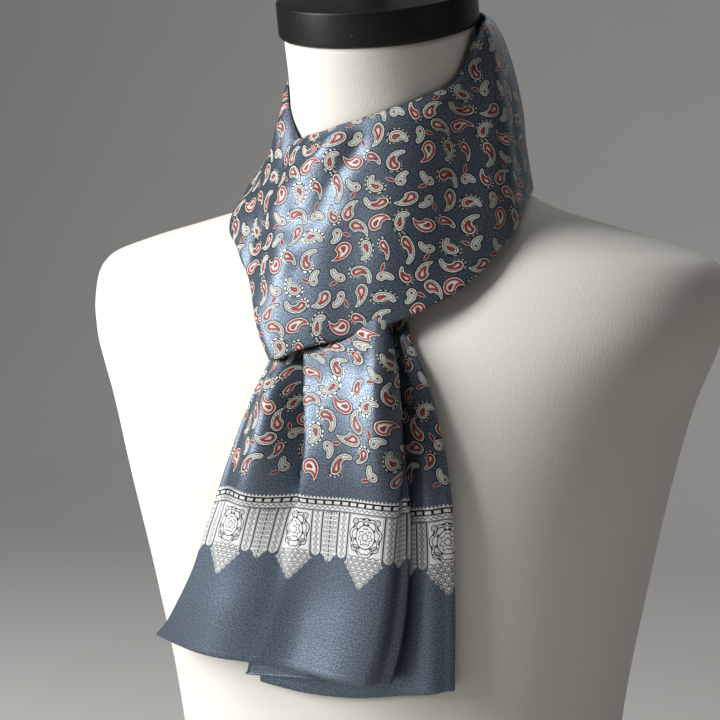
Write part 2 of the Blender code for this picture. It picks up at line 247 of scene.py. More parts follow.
class Finish:
    """A material and its nodes."""

    def __init__(self, name, **constants):
        self.material = bpy.data.materials.new(name)
        self.material.use_nodes = True
        self.tree = self.material.node_tree
        self.shader = self.tree.nodes["Principled BSDF"]
        for socket, value in constants.items():
            self.shader.inputs[socket.replace("_", " ")].default_value = value

    def node(self, kind, settings, sockets, out=0):
        """Add a node: its settings first, then the values or links of its sockets."""
        made = self.tree.nodes.new(kind)
        for name, value in settings.items():
            if name == "stops":
                while len(made.color_ramp.elements) < len(value):
                    made.color_ramp.elements.new(1.0)
                for element, (position, colour) in zip(made.color_ramp.elements, value):
                    element.position = position
                    element.color = colour
            elif name == "interpolation":
                made.color_ramp.interpolation = value
            else:
                setattr(made, name, value)
        for key, value in sockets.items():
            if isinstance(value, Wire):
                self.tree.links.new(value.socket, made.inputs[key])
            else:
                made.inputs[key].default_value = value
        return Wire(self, made.outputs[out])

    def blend(self, factor, a, b):
        """A colour between two, by a factor from 0 to 1."""
        return self.node(
            "ShaderNodeMix", {"data_type": "RGBA"}, {0: factor, 6: colour(a), 7: colour(b)}, out=2
        )

    def split(self, vector):
        made = self.node("ShaderNodeSeparateXYZ", {}, {0: vector})
        return [Wire(self, socket) for socket in made.socket.node.outputs]

    def noise(self, place, scale, detail):
        sockets = {"Vector": place, "Scale": scale, "Detail": detail}
        return self.node("ShaderNodeTexNoise", {}, sockets)

    def set(self, socket, value):
        self.tree.links.new(value.socket, self.shader.inputs[socket])

    def bump(self, height, strength, distance):
        sockets = {"Height": height, "Strength": strength, "Distance": distance}
        self.set("Normal", self.node("ShaderNodeBump", {}, sockets))


def colour(value):
    """A colour as four numbers; a link passes as it is."""
    if isinstance(value, Wire):
        return value
    return (*value, 1.0)


print("shader sums ready")

# %% [markdown]
# ## The dress form
# The form is turned papier-mache or foam under a tight ivory jersey cover, so it is one
# smooth closed shape. The solid of it has flat faces that would show along its outline.
# A finer skin from the same table of rings stands for it: a grid rolled into a tube and
# closed at both ends. Each ring is a superellipse, between an ellipse and a rounded box.

# %% Rings of the form
GAP = 0.0003
NECK_TOP = 0.600
NECK_LEAN = math.radians(13)
LEAN_FROM = 0.520

FormRing = namedtuple("FormRing", "z half_width half_depth centre_y squareness")
FORM = [
    FormRing(0.0143, 0.150, 0.112, 0.004, 2.30),
    FormRing(0.080, 0.142, 0.103, 0.002, 2.30),
    FormRing(0.160, 0.150, 0.107, 0.000, 2.30),
    FormRing(0.240, 0.166, 0.115, -0.002, 2.30),
    FormRing(0.310, 0.182, 0.122, -0.004, 2.35),
    FormRing(0.360, 0.196, 0.120, -0.002, 2.40),
    FormRing(0.400, 0.212, 0.112, 0.002, 2.40),
    FormRing(0.432, 0.218, 0.098, 0.006, 2.30),
    FormRing(0.451, 0.210, 0.087, 0.008, 2.20),
    FormRing(0.463, 0.180, 0.080, 0.008, 2.10),
    FormRing(0.474, 0.141, 0.074, 0.006, 2.05),
    FormRing(0.485, 0.104, 0.070, 0.002, 2.00),
    FormRing(0.500, 0.079, 0.067, -0.005, 2.00),
    FormRing(0.520, 0.067, 0.0645, -0.014, 2.00),
    FormRing(0.545, 0.063, 0.0625, -0.023, 2.00),
    FormRing(0.575, 0.061, 0.061, -0.032, 2.00),
    FormRing(NECK_TOP, 0.061, 0.061, -0.039, 2.00),
]


def form_point(degrees, z, lift=0.0):
    """A point on the form's surface at an angle and height, moved straight out by lift."""
    ring = between(FORM, z)
    across = math.sin(math.radians(degrees))
    ahead = math.cos(math.radians(degrees))
    n = ring.squareness
    reach = (abs(across / ring.half_width) ** n + abs(ahead / ring.half_depth) ** n) ** (-1 / n)
    return Vector(((reach + lift) * across, ring.centre_y - (reach + lift) * ahead, z))


def finished(name, shape, body="root"):
    """Make an object of a bmesh, shaded smooth, that rides on the body."""
    mesh = bpy.data.meshes.new(name)
    shape.to_mesh(mesh)
    shape.free()
    mesh.shade_smooth()
    made = bpy.data.objects.new(name, mesh)
    bpy.context.scene.collection.objects.link(made)
    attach(made, body)
    return made


# %% The form's smooth skin
SKIN_SIDES = 144
SKIN_RINGS = 110
HEM_INSET = 0.004  # the cover rounds in under the lower edge
HEM_ROUND = 0.003  # and does so over this height
WELD = 1e-6  # points closer than this become one


def skin_heights():
    """Ring heights, closer together where the table's own rings are."""
    heights = []
    for k in range(SKIN_RINGS + 1):
        place = k / SKIN_RINGS * (len(FORM) - 1)
        row = min(int(place), len(FORM) - 2)
        heights.append(mix(FORM[row].z, FORM[row + 1].z, place - row))
    return heights


def make_skin():
    shape = bmesh.new()
    heights = skin_heights()
    grid = bmesh.ops.create_grid(
        shape, x_segments=SKIN_SIDES, y_segments=len(heights) - 1, size=1
    )["verts"]
    for v in grid:
        degrees = (v.co.x + 1) * 180
        level = round((v.co.y + 1) / 2 * (len(heights) - 1))
        z = heights[level]
        v.co = form_point(degrees, z, -HEM_INSET * bell((z - FORM[0].z) / HEM_ROUND))
        lean = math.tan(NECK_LEAN) * smooth((z - LEAN_FROM) / (NECK_TOP - LEAN_FROM))
        v.co.z += (v.co.y - between(FORM, z).centre_y) * lean
    bmesh.ops.remove_doubles(shape, verts=shape.verts, dist=WELD)
    rims = [e for e in shape.edges if e.is_boundary]
    bmesh.ops.holes_fill(shape, edges=rims, sides=0)
    bmesh.ops.recalc_face_normals(shape, faces=shape.faces)
    return finished("form_cover", shape)


skin = make_skin()
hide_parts("form_body")
print("form cover:", len(skin.data.polygons), "faces")

# %% [markdown]
# ## The cap
# The neck is closed by a turned wooden cap under black paint, with a small knob for lifting
# the form. Both are turned here from their profiles, which have rounder edges than the
# solids can hold, and set on the slanted top of the neck.

# %% Turn the cap and its knob
CAP_RADIUS = 0.0647
CAP_HEIGHT = 0.023
CAP_EDGE = 0.003
CAP_CROWN = 0.0012
KNOB_RADIUS = 0.014
KNOB_HEIGHT = 0.030
TURNED_SIDES = 128
EDGE_STEPS = 6
KNOB_STEPS = 32

KnobRing = namedtuple("KnobRing", "z radius")
KNOB = [
    KnobRing(0.00, 1.00),
    KnobRing(0.12, 0.99),
    KnobRing(0.25, 0.63),
    KnobRing(0.42, 0.55),
    KnobRing(0.62, 0.95),
    KnobRing(0.76, 0.97),
    KnobRing(0.93, 0.60),
    KnobRing(1.00, 0.10),
]


def rounded(radius, z, edge, up):
    """Points round the edge of a disc, from its side onto its top (up 1) or underside (up -1)."""
    points = []
    for k in range(EDGE_STEPS + 1):
        a = math.radians(90 * k / EDGE_STEPS)
        points.append((radius - edge + edge * math.cos(a), z + up * (edge * math.sin(a) - edge)))
    return points


def turned(name, profile, height):
    """Spin a profile of radii and heights about the neck's slanted axis."""
    shape = bmesh.new()
    points = [shape.verts.new((radius, 0, z)) for radius, z in profile]
    edges = [shape.edges.new(pair) for pair in zip(points, points[1:])]
    bmesh.ops.spin(
        shape,
        geom=points + edges,
        angle=2 * math.pi,
        steps=TURNED_SIDES,
        axis=(0, 0, 1),
        cent=(0, 0, 0),
        use_merge=True,
    )
    bmesh.ops.remove_doubles(shape, verts=shape.verts, dist=WELD)
    bmesh.ops.recalc_face_normals(shape, faces=shape.faces)
    axis = Vector((0, -math.sin(NECK_LEAN), math.cos(NECK_LEAN)))
    foot = Vector((0, FORM[-1].centre_y, NECK_TOP))
    bmesh.ops.rotate(
        shape, verts=shape.verts, cent=(0, 0, 0), matrix=Matrix.Rotation(NECK_LEAN, 3, "X")
    )
    bmesh.ops.translate(shape, verts=shape.verts, vec=foot + axis * height)
    return finished(name, shape)


cap_side = rounded(CAP_RADIUS, 0, CAP_EDGE, -1)[::-1]
cap_side += rounded(CAP_RADIUS, CAP_HEIGHT, CAP_EDGE / 2, 1)
cap_profile = [(0, 0), *cap_side, (KNOB_RADIUS, CAP_HEIGHT + CAP_CROWN), (0, CAP_HEIGHT + CAP_CROWN)]
cap = turned("cap", cap_profile, GAP)
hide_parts("neck_cap")

knob_rings = [between(KNOB, k / KNOB_STEPS) for k in range(KNOB_STEPS + 1)]
knob_profile = [(ring.radius * KNOB_RADIUS, ring.z * KNOB_HEIGHT) for ring in knob_rings]
knob = turned("cap_knob", [(0, 0), *knob_profile, (0, KNOB_HEIGHT)], CAP_HEIGHT + CAP_CROWN + 2 * GAP)
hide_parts("cap_finial")
print("cap:", len(cap.data.polygons), "faces, knob:", len(knob.data.polygons))

# %% [markdown]
# ## The band of cloth
# The scarf is doubled, so its long edges are soft folds and its wall is two layers. Each
# stretch is a grid whose points are moved onto the same sections as its solid, with many
# more of them, and its creases are added as soft ridges and troughs. Each crease has its
# own place, length, width and height, because no two in real silk are alike.
#
# The print has to follow the cloth and not the air round it. So every stretch gets a UV
# map in metres of the flat band: across it from a long edge, and along it from the hem.

# %% Sections of the loop
WRAP_AXIS_Y = -0.015
HEM_TURN = 0.014
EDGE_ROLL = 0.0045
EDGE_RUN = 0.006
BULGE_SKEW = 1.3
TURN_STEPS = 24
HEADING_STEP = 0.001
NECK_HUG = 0.0027  # the upper edge lies this much closer to the neck on the wearer's right
HUG_AT = -52.0
HUG_WIDTH = 26.0
HUG_RUN = 0.16
LOOP_START = -100.0
LOOP_END = 260.0

# the last two columns, how far the lower edge turns under and runs back up, are often 0
LoopSection = namedtuple(
    "LoopSection", "angle top_r top_z low_r low_z bulge turn under", defaults=(0, 0.0)
)
LOOP = [
    LoopSection(-100, 0.0600, 0.586, 0.0960, 0.497, -0.003),
    LoopSection(-80, 0.0665, 0.574, 0.0985, 0.491, -0.010, 20, 0.000),
    LoopSection(-68, 0.0700, 0.565, 0.1060, 0.481, -0.011, 90, 0.000),
    LoopSection(-60, 0.0710, 0.556, 0.1085, 0.470, -0.009, 150, 0.004),
    LoopSection(-52, 0.0715, 0.547, 0.1065, 0.461, -0.005, 170, 0.008),
    LoopSection(-44, 0.0714, 0.537, 0.1070, 0.449, -0.002, 175, 0.010),
    LoopSection(-38, 0.0708, 0.530, 0.1085, 0.438, 0.000, 175, 0.010),
    LoopSection(-30, 0.0713, 0.532, 0.1120, 0.424, 0.001, 165, 0.006),
    LoopSection(-25, 0.0716, 0.533, 0.1160, 0.411, 0.001, 125, 0.002),
    LoopSection(-20, 0.0720, 0.534, 0.1210, 0.396, 0.001, 45, 0.000),
    LoopSection(-16, 0.0722, 0.535, 0.1205, 0.394, 0.001, 15, 0.000),
    LoopSection(-8, 0.0730, 0.538, 0.1150, 0.401, 0.001, 5, 0.000),
    LoopSection(6, 0.0737, 0.543, 0.1085, 0.408, 0.001),
    LoopSection(22, 0.0745, 0.550, 0.1085, 0.418, 0.001),
    LoopSection(38, 0.0745, 0.557, 0.1110, 0.432, 0.000),
    LoopSection(50, 0.0732, 0.564, 0.1115, 0.447, 0.000),
    LoopSection(58, 0.0720, 0.573, 0.1100, 0.461, 0.000),
    LoopSection(66, 0.0708, 0.589, 0.1085, 0.473, 0.000),
    LoopSection(74, 0.0700, 0.601, 0.1035, 0.484, 0.002),
    LoopSection(84, 0.0660, 0.606, 0.0970, 0.492, 0.004),
    LoopSection(98, 0.0600, 0.609, 0.0930, 0.497, 0.0055),
    LoopSection(114, 0.0565, 0.611, 0.0910, 0.500, 0.0055),
    LoopSection(135, 0.0510, 0.612, 0.0935, 0.496, 0.005),
    LoopSection(160, 0.0480, 0.612, 0.0970, 0.490, 0.004),
    LoopSection(185, 0.0475, 0.610, 0.0985, 0.489, 0.004),
    LoopSection(210, 0.0490, 0.605, 0.0970, 0.490, 0.003),
    LoopSection(235, 0.0530, 0.597, 0.0955, 0.493, 0.000),
    LoopSection(260, 0.0600, 0.586, 0.0960, 0.497, -0.003),
]


def section_point(section, t):
    """The radius and height at share t of a section, from its upper edge down and round the turn."""
    across = section.low_r - section.top_r
    down = section.low_z - section.top_z
    length_down = math.hypot(across, down)
    outward = Vector((-down, across)).normalized()
    bend_all = math.radians(max(section.turn, 1))
    run = length_down - HEM_TURN / bend_all * math.sin(min(bend_all, math.pi / 2))

    def on_face(distance):
        share = distance / length_down
        out = section.bulge * math.sin(math.pi * (1 - (1 - min(share, 1)) ** BULGE_SKEW))
        out += EDGE_ROLL * (1 - math.exp(-distance / EDGE_RUN)) * (1 - share) ** 2
        return Vector((section.top_r + across * share, section.top_z + down * share)) + outward * out

    whole = run + HEM_TURN + section.under
    distance = whole * t
    if distance <= run:
        return on_face(distance)
    spot = on_face(run)
    heading = (on_face(run) - on_face(run - HEADING_STEP)).normalized()
    step = (distance - run) / TURN_STEPS
    for k in range(TURN_STEPS):
        bend = bend_all * min(step * (k + 0.5) / HEM_TURN, 1)
        spot = spot + step * Vector(
            (
                heading.x * math.cos(bend) + heading.y * math.sin(bend),
                heading.y * math.cos(bend) - heading.x * math.sin(bend),
            )
        )
    return spot


def loop_point(degrees, t):
    spot = section_point(between(LOOP, degrees), t)
    turn = math.radians(degrees)
    reach = spot.x - NECK_HUG * bell((degrees - HUG_AT) / HUG_WIDTH) * smooth(1 - t / HUG_RUN)
    return Vector((reach * math.sin(turn), WRAP_AXIS_Y - reach * math.cos(turn), spot.y))


# %% Creases of the loop
DEGREE = 1.7  # millimetres round the loop for each degree, on average
BAND = 140.0  # millimetres from the loop's upper edge to its lower
CREASE_REACH = 3  # a crease is lost beyond this many of its widths
CALM_EDGE = 0.05  # share of the width over which creases rise from the upper edge

Crease = namedtuple("Crease", "angle_1 t_1 angle_2 t_2 width height fade", defaults=(0.40,))
CREASES = [
    Crease(0, 0.00, -36, 0.36, 9, 2.4, 0.30),
    Crease(-38, 0.40, -18, 0.60, 11, 3.0),
    Crease(-22, 0.62, -26, 1.00, 14, 2.4, 0.35),
    Crease(-2, 0.36, -40, 0.50, 9, -2.6),
    Crease(-44, 0.60, -36, 0.96, 8, -1.8),
    Crease(8, 0.10, -10, 0.32, 8, -2.2, 0.45),
    Crease(16, 0.02, 2, 0.72, 20, -0.8),
    Crease(38, 0.04, 16, 0.86, 17, 0.7),
    Crease(56, 0.08, 38, 0.94, 13, -1.4),
    Crease(72, 0.10, 56, 0.90, 11, 2.0),
    Crease(86, 0.20, 76, 0.98, 9, -1.8, 0.45),
    Crease(-52, 0.05, -58, 0.50, 7, 1.8),
    Crease(-66, 0.10, -70, 0.90, 7, -2.0),
    Crease(-84, 0.30, -78, 1.00, 9, 1.8),
    Crease(104, 0.02, 110, 0.70, 10, 1.8),
    Crease(128, 0.25, 122, 1.00, 9, -1.8),
    Crease(146, 0.00, 158, 0.80, 11, 1.9),
    Crease(176, 0.20, 170, 1.00, 9, -1.8, 0.45),
    Crease(196, 0.00, 204, 0.66, 10, 1.8),
    Crease(222, 0.20, 214, 1.00, 8, -1.8, 0.45),
    Crease(240, 0.02, 246, 0.80, 10, 1.6),
]
SEAM_CREASE = Crease(-100, 0.0, -100, 1.0, 5, -1.5, 0.10)


def fading(along, fade):
    """1 along a line from 0 to 1, falling to 0 round each end over a share of its length."""
    return smooth((along + fade / 2) / fade) * smooth((1 + fade / 2 - along) / fade)


def crease_height(crease, degrees, t):
    """How far one crease lifts the cloth here: a soft ridge along a line, fading at its ends."""
    run_x = (crease.angle_2 - crease.angle_1) * DEGREE
    run_y = (crease.t_2 - crease.t_1) * BAND
    x = (degrees - crease.angle_1) * DEGREE
    y = (t - crease.t_1) * BAND
    whole = math.hypot(run_x, run_y)
    along = (x * run_x + y * run_y) / whole**2
    off = (x * run_y - y * run_x) / whole / crease.width
    if abs(off) > CREASE_REACH:
        return 0.0
    return crease.height / 1000 * bell(off) * fading(along, crease.fade)


def loop_lift(degrees, t):
    lift = sum(crease_height(crease, degrees, t) for crease in CREASES)
    for turn in (0, 360):
        lift += crease_height(SEAM_CREASE, degrees - turn, t)
    return lift * smooth(t / CALM_EDGE)


# %% From a grid to a doubled wall of cloth
def cloth_grid(rows, columns, place):
    """A grid of cloth; place(row, column) gives each point, both from 0 to 1."""
    shape = bmesh.new()
    grid = bmesh.ops.create_grid(shape, x_segments=columns, y_segments=rows, size=1)["verts"]
    index = {}
    for v in grid:
        row = round((v.co.y + 1) / 2 * rows)
        column = round((v.co.x + 1) / 2 * columns)
        index[row, column] = v
    for (row, column), v in index.items():
        v.co = place(row / rows, column / columns)
    return shape, index


def lift_points(shape, index, lift):
    """Move each point along its own normal."""
    shape.normal_update()
    moves = {key: v.normal * lift(*key) for key, v in index.items()}
    for key, move in moves.items():
        index[key].co += move


def wall(made, thickness):
    modifier = made.modifiers.new("wall", "SOLIDIFY")
    modifier.thickness = thickness
    modifier.offset = 0
    return made


print("creases:", len(CREASES) + 1)

# %% The loop round the neck
LOOP_ROWS = 300
LOOP_COLUMNS = 76
LOOP_WALL = 0.0010


def face_outwards(shape, index, key, outward):
    """Turn every face so that the one beside a point looks a given way."""
    shape.normal_update()
    if index[key].normal.dot(outward) < 0:
        bmesh.ops.reverse_faces(shape, faces=shape.faces)


def run_across(index, row, columns):
    """How far each point of a row lies from its first point, along the cloth."""
    run = [0.0]
    for column in range(columns):
        step = index[row, column + 1].co - index[row, column].co
        run.append(run[-1] + step.length)
    return run


def laid_flat(index, rows, columns):
    """Lay a strip flat, one section after another. Each section stays straight and keeps its
    length. It moves ahead, slides and turns as the cloth between it and the last one does."""
    flat = {}
    corner = Vector((0.0, 0.0))
    heading = 0.0
    run = run_across(index, 0, columns)
    for row in range(rows + 1):
        if row:
            last_run = run
            run = run_across(index, row, columns)
            ahead = []
            slides = []
            for column in range(columns + 1):
                step = index[row, column].co - index[row - 1, column].co
                nearer = index[row - 1, max(column - 1, 0)].co
                farther = index[row - 1, min(column + 1, columns)].co
                sideways = step.dot((farther - nearer).normalized())
                slides.append(sideways - run[column] + last_run[column])
                ahead.append(math.sqrt(max(step.length_squared - sideways**2, 0)))
            count = columns + 1
            middle = sum(last_run) / count
            advance = sum(ahead) / count
            spread = sum((at - middle) ** 2 for at in last_run)
            turn = sum((at - middle) * go for at, go in zip(last_run, ahead)) / spread
            corner += Vector((-math.sin(heading), math.cos(heading))) * (advance - turn * middle)
            corner += Vector((math.cos(heading), math.sin(heading))) * (sum(slides) / count)
            heading += turn
        for column in range(columns + 1):
            flat[row, column] = corner + run[column] * Vector((math.cos(heading), math.sin(heading)))
    return flat


def set_uvs(shape, index, flat):
    """Give the cloth its places on the flat band, in metres."""
    layer = shape.loops.layers.uv.new("cloth")
    place = {v: flat[key] for key, v in index.items()}
    for face in shape.faces:
        for corner in face.loops:
            corner[layer].uv = place[corner.vert]


def make_loop():
    def place(row, column):
        return loop_point(mix(LOOP_START, LOOP_END, row), column)

    def lift(row, column):
        return loop_lift(mix(LOOP_START, LOOP_END, row / LOOP_ROWS), column / LOOP_COLUMNS)

    shape, index = cloth_grid(LOOP_ROWS, LOOP_COLUMNS, place)
    front_row = round(LOOP_ROWS * -LOOP_START / 360)
    face_outwards(shape, index, (front_row, LOOP_COLUMNS // 2), Vector((0, -1, 0)))
    lift_points(shape, index, lift)
    for column in range(LOOP_COLUMNS + 1):
        index[LOOP_ROWS, column].co = index[0, column].co
    set_uvs(shape, index, laid_flat(index, LOOP_ROWS, LOOP_COLUMNS))
    bmesh.ops.remove_doubles(shape, verts=shape.verts, dist=WELD)
    made = finished("scarf_loop", shape)
    area = sum(face.area for face in made.data.polygons)
    print("loop:", round(area * 10000), "cm2 of cloth,", len(made.data.polygons), "faces")
    return wall(made, LOOP_WALL), area


loop, loop_area = make_loop()
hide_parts("scarf_wrap", "scarf_neck_back")

# %% [markdown]
# ## The two ends
# Each end hangs from under the front of the loop. The front end carries one deep fold
# that the knot presses into it: its right side stands over its left like an open pleat,
# and dies out towards the hem. Its right edge is the fold of the doubled band, so the
# cloth turns round it and comes back behind, down to a free lower corner.

# %% Sections of the ends
TailRow = namedtuple("TailRow", "drop left right z_left z_right face behind fold fold_at")
FRONT_TAIL = [
    TailRow(0.00, -15, 15, 0.447, 0.452, 0.0080, 0.0050, 0.15, 0.26),
    TailRow(0.20, -19, 18, 0.393, 0.413, 0.0080, 0.0050, 0.45, 0.32),
    TailRow(0.30, -22, 20, 0.371, 0.389, 0.0085, 0.0052, 0.95, 0.45),
    TailRow(0.45, -27, 22, 0.333, 0.354, 0.0090, 0.0055, 1.00, 0.53),
    TailRow(0.55, -31, 23, 0.306, 0.330, 0.0098, 0.0058, 0.75, 0.51),
    TailRow(0.63, -35, 24, 0.285, 0.311, 0.0105, 0.0056, 0.38, 0.48),
    TailRow(0.75, -41, 24, 0.255, 0.268, 0.0120, 0.0058, 0.14, 0.46),
    TailRow(0.90, -51, 22, 0.221, 0.222, 0.0145, 0.0062, 0.08, 0.46),
    TailRow(1.00, -58, 19, 0.206, 0.194, 0.0160, 0.0068, 0.06, 0.46),
]
REAR_TAIL = [
    TailRow(0.00, -8, 22, 0.440, 0.444, 0.0024, 0.0022, 0.5, 16.5),
    TailRow(0.15, -9, 23, 0.405, 0.412, 0.0026, 0.0022, 0.5, 19.3),
    TailRow(0.28, -12, 28, 0.375, 0.384, 0.0027, 0.0022, 0.8, 21.6),
    TailRow(0.42, -16, 32, 0.335, 0.345, 0.0028, 0.0022, 1.0, 23.8),
    TailRow(0.60, -20, 34.5, 0.290, 0.300, 0.0030, 0.0022, 1.0, 25.7),
    TailRow(0.80, -24, 35.5, 0.235, 0.245, 0.0034, 0.0024, 1.0, 25.0),
    TailRow(1.00, -26, 36, 0.186, 0.190, 0.0040, 0.0026, 1.0, 21.5),
]
TAIL_BEND = 0.125  # radius by which a length across an end becomes an angle
FOLD_WIDTH = 0.055  # share of the front end's width
FOLD_OVERLAP = 5.0  # degrees that the deep fold reaches over the cloth beside it
FOLD_HEIGHT = 0.014
FOLD_FADE = 4.0  # share of the width over which the fold's high side falls away
FOLD_STEEPNESS = 1.5
EDGE_FADE = 0.09  # share of the width over which it comes down to the right edge
SIDE_ROLL = 0.015  # height of the rounded strip left of the fold
SIDE_CREST = 0.46  # that strip is highest here, and falls from it into the fold
VALLEY = 0.006  # depth of the trough at the fold's foot
FRONT_BEHIND = 46.0  # degrees of cloth turned behind the front end, fewer towards its top
FRONT_BEHIND_TOP = 0.2
BEHIND_DROP = 0.010  # that layer hangs this much lower
REAR_BEHIND = 0.35  # share of the rolled side's width
REAR_ROLL = 0.0075  # the rear end's rolled side stands this much further off
REAR_HEM_DIP = 0.007
TAIL_WALL = 0.0007


def across_tail(columns, column):
    """Which stretch of an end a column is in (0 face, 1 turn, 2 behind) and its share of it."""
    at = column * sum(columns)
    for stretch, count in enumerate(columns):
        if at <= count + 1e-6 or stretch == 2:
            return stretch, at / count
        at -= count


def front_face(row, share):
    """Angle and lift on the front end's face, with its deep fold."""
    w = (share - row.fold_at) / FOLD_WIDTH
    degrees = mix(row.left, row.right, share) - row.fold * FOLD_OVERLAP * w * math.exp(-w * w / 2)
    fade = math.exp(-max(share - row.fold_at, 0) / FOLD_FADE) * smooth((1 - share) / EDGE_FADE)
    raised = FOLD_HEIGHT * row.fold * (0.5 + 0.5 * math.tanh(FOLD_STEEPNESS * w)) * fade
    reach = share / row.fold_at
    roll = SIDE_ROLL * row.fold * smooth(reach / SIDE_CREST) * smooth((1 - reach) / (1 - SIDE_CREST))
    sunk = VALLEY * row.fold * bell(w + 1)
    return degrees, row.face + raised + roll - sunk


def front_behind(row):
    return FRONT_BEHIND * smooth(2 * row.drop + FRONT_BEHIND_TOP)


def rear_face(row, share):
    degrees = mix(row.left, row.right, share)
    out = smooth((degrees - row.fold_at) / (row.right - row.fold_at))
    return degrees, row.face + REAR_ROLL * out * row.fold


def rear_behind(row):
    return REAR_BEHIND * (row.right - row.fold_at)


def tail_point(end, down, column):
    row = between(end.table, down)
    behind_degrees = end.behind(row)
    stretch, share = across_tail(end.columns, column)
    edge_degrees, edge_lift = end.face(row, 1)
    radius = (edge_lift - row.behind) / 2
    radius_degrees = math.degrees(radius / TAIL_BEND)
    if stretch == 0:
        degrees, lift = end.face(row, share)
        degrees -= radius_degrees * share
        z = mix(row.z_left, row.z_right, share)
        z -= end.hem_dip * math.sin(math.pi * share) * down**4
    elif stretch == 1:
        turn = math.pi * share
        degrees = edge_degrees - radius_degrees * (1 - math.sin(turn))
        lift = row.behind + radius * (1 + math.cos(turn))
        z = row.z_right
    else:
        degrees = edge_degrees - radius_degrees - behind_degrees * share
        lift = row.behind
        z = mix(row.z_right, row.z_left, behind_degrees * share / (row.right - row.left))
        z -= BEHIND_DROP * share * down**3 * behind_degrees / FRONT_BEHIND
    return form_point(degrees, z, lift)


# %% Soft troughs and ridges of the ends
TailCrease = namedtuple(
    "TailCrease", "share_1 down_1 share_2 down_2 width height fade", defaults=(0.40,)
)
FRONT_CREASES = [
    TailCrease(0.56, 0.76, 0.64, 1.30, 0.13, -6.0),
    TailCrease(0.26, 0.74, 0.36, 1.30, 0.15, 4.0),
    TailCrease(0.95, 0.16, 0.95, 1.40, 0.24, 10.5, 0.30),
    TailCrease(0.62, 0.24, 0.64, 0.62, 0.07, 0.9, 0.50),
    TailCrease(0.78, 0.22, 0.80, 0.60, 0.07, -0.9, 0.50),
]
REAR_CREASES = [
    TailCrease(0.62, 0.30, 0.60, 1.00, 0.10, 0.8),
    TailCrease(0.93, 0.20, 0.93, 1.40, 0.13, 4.0),
    TailCrease(0.30, 0.60, 0.24, 1.00, 0.10, 0.8),
]


def tail_crease(crease, share, down):
    run_x = crease.share_2 - crease.share_1
    along = (down - crease.down_1) / (crease.down_2 - crease.down_1)
    off = (share - crease.share_1 - run_x * along) / crease.width
    return crease.height / 1000 * bell(off) * fading(along, crease.fade)


HEM_ROLL = 0.0009  # radius of the rolled hem
HEM_STEPS = 5
HEM_TURNED = math.radians(230)


def roll_hem(index, rows, columns):
    """Roll the last rows of a grid round to the back of the cloth."""
    for column in range(columns + 1):
        hem = index[rows, column]
        start, out = hem.co.copy(), hem.normal.copy()
        ahead = (start - index[rows - 1, column].co).normalized()
        for step in range(1, HEM_STEPS + 1):
            turn = HEM_TURNED * step / HEM_STEPS
            index[rows + step, column].co = start + HEM_ROLL * (
                ahead * math.sin(turn) - out * (1 - math.cos(turn))
            )


EDGE_ROOM = 0.06  # creases stay this share of the width clear of both edges


def make_tail(end):
    """The grid of one end, with its creases and its rolled hem."""
    rows, columns = end.rows, end.columns
    all_rows = rows + HEM_STEPS

    def place(down, column):
        return tail_point(end, min(down * all_rows / rows, 1.0), column)

    def lift(row, column):
        stretch, share = across_tail(columns, column / sum(columns))
        if stretch or row > rows:
            return 0.0
        held = smooth(share / EDGE_ROOM) * smooth((1 - share) / EDGE_ROOM)
        return held * sum(tail_crease(crease, share, row / rows) for crease in end.creases)

    shape, index = cloth_grid(all_rows, sum(columns), place)
    face_outwards(shape, index, (rows // 2, columns[0] // 4), Vector((0, -1, 0)))
    lift_points(shape, index, lift)
    shape.normal_update()
    roll_hem(index, rows, sum(columns))
    return shape, index


# %% UVs of an end
LACE_LEVEL = 0.62  # share of an end's length down to its lace border
SKEW_SHARE = 0.40  # share of the width over which an end's skew dies out


def tail_uvs(shape, index, end):
    """UVs in metres, across from the left edge and up from the hem. The face is as wide as at
    the lace everywhere: the deep fold swallows what a narrower row has too much, and the flare
    below stretches what it has too little."""
    rows, columns = end.rows, end.columns
    total = sum(columns)
    run = [run_across(index, row, total) for row in range(rows + 1)]
    width = run[round(LACE_LEVEL * rows)][columns[0]]
    flat = {}
    for column in range(total + 1):
        above = 0.0
        share = column / columns[0]
        for row in range(rows, -1, -1):
            if row < rows:
                above += (index[row, column].co - index[row + 1, column].co).length
            spare = width - run[row][columns[0]]
            across = run[row][column]
            if spare < 0:
                across *= width / run[row][columns[0]]
            elif end.fold_gap:
                start = share - between(end.table, row / rows).fold_at
                across += spare * smooth((start + end.fold_gap) / (2 * end.fold_gap))
            else:
                across += spare
            flat[row, column] = (across, above * (1 - end.skew * smooth(1 - share / SKEW_SHARE)))
        for step in range(1, HEM_STEPS + 1):
            flat[rows + step, column] = (flat[rows, column][0], -HEM_ROLL * step)
    set_uvs(shape, index, flat)
    return width, flat[0, columns[0] // 2][1]


# %% Hang both ends
# columns: across the face, round the turned edge and behind; fold_gap: half the width of the
# fold that swallows cloth, or 0; skew: the plain band's loss of height at the left edge
End = namedtuple("End", "name table columns rows face behind hem_dip creases fold_gap skew")
FRONT = End(
    name="scarf_end_front",
    table=FRONT_TAIL,
    columns=(130, 12, 30),
    rows=120,
    face=front_face,
    behind=front_behind,
    hem_dip=0,
    creases=FRONT_CREASES,
    fold_gap=FOLD_WIDTH,
    skew=0.10,
)
REAR = End(
    name="scarf_end_rear",
    table=REAR_TAIL,
    columns=(66, 12, 10),
    rows=110,
    face=rear_face,
    behind=rear_behind,
    hem_dip=REAR_HEM_DIP,
    creases=REAR_CREASES,
    fold_gap=0,
    skew=0,
)


def hang(end):
    """Make one end. Also gives its area and its length."""
    shape, index = make_tail(end)
    width, drop = tail_uvs(shape, index, end)
    made = wall(finished(end.name, shape), TAIL_WALL)
    print(end.name, round(width, 3), "m wide,", round(drop, 3), "m long")
    return made, sum(face.area for face in made.data.polygons), drop


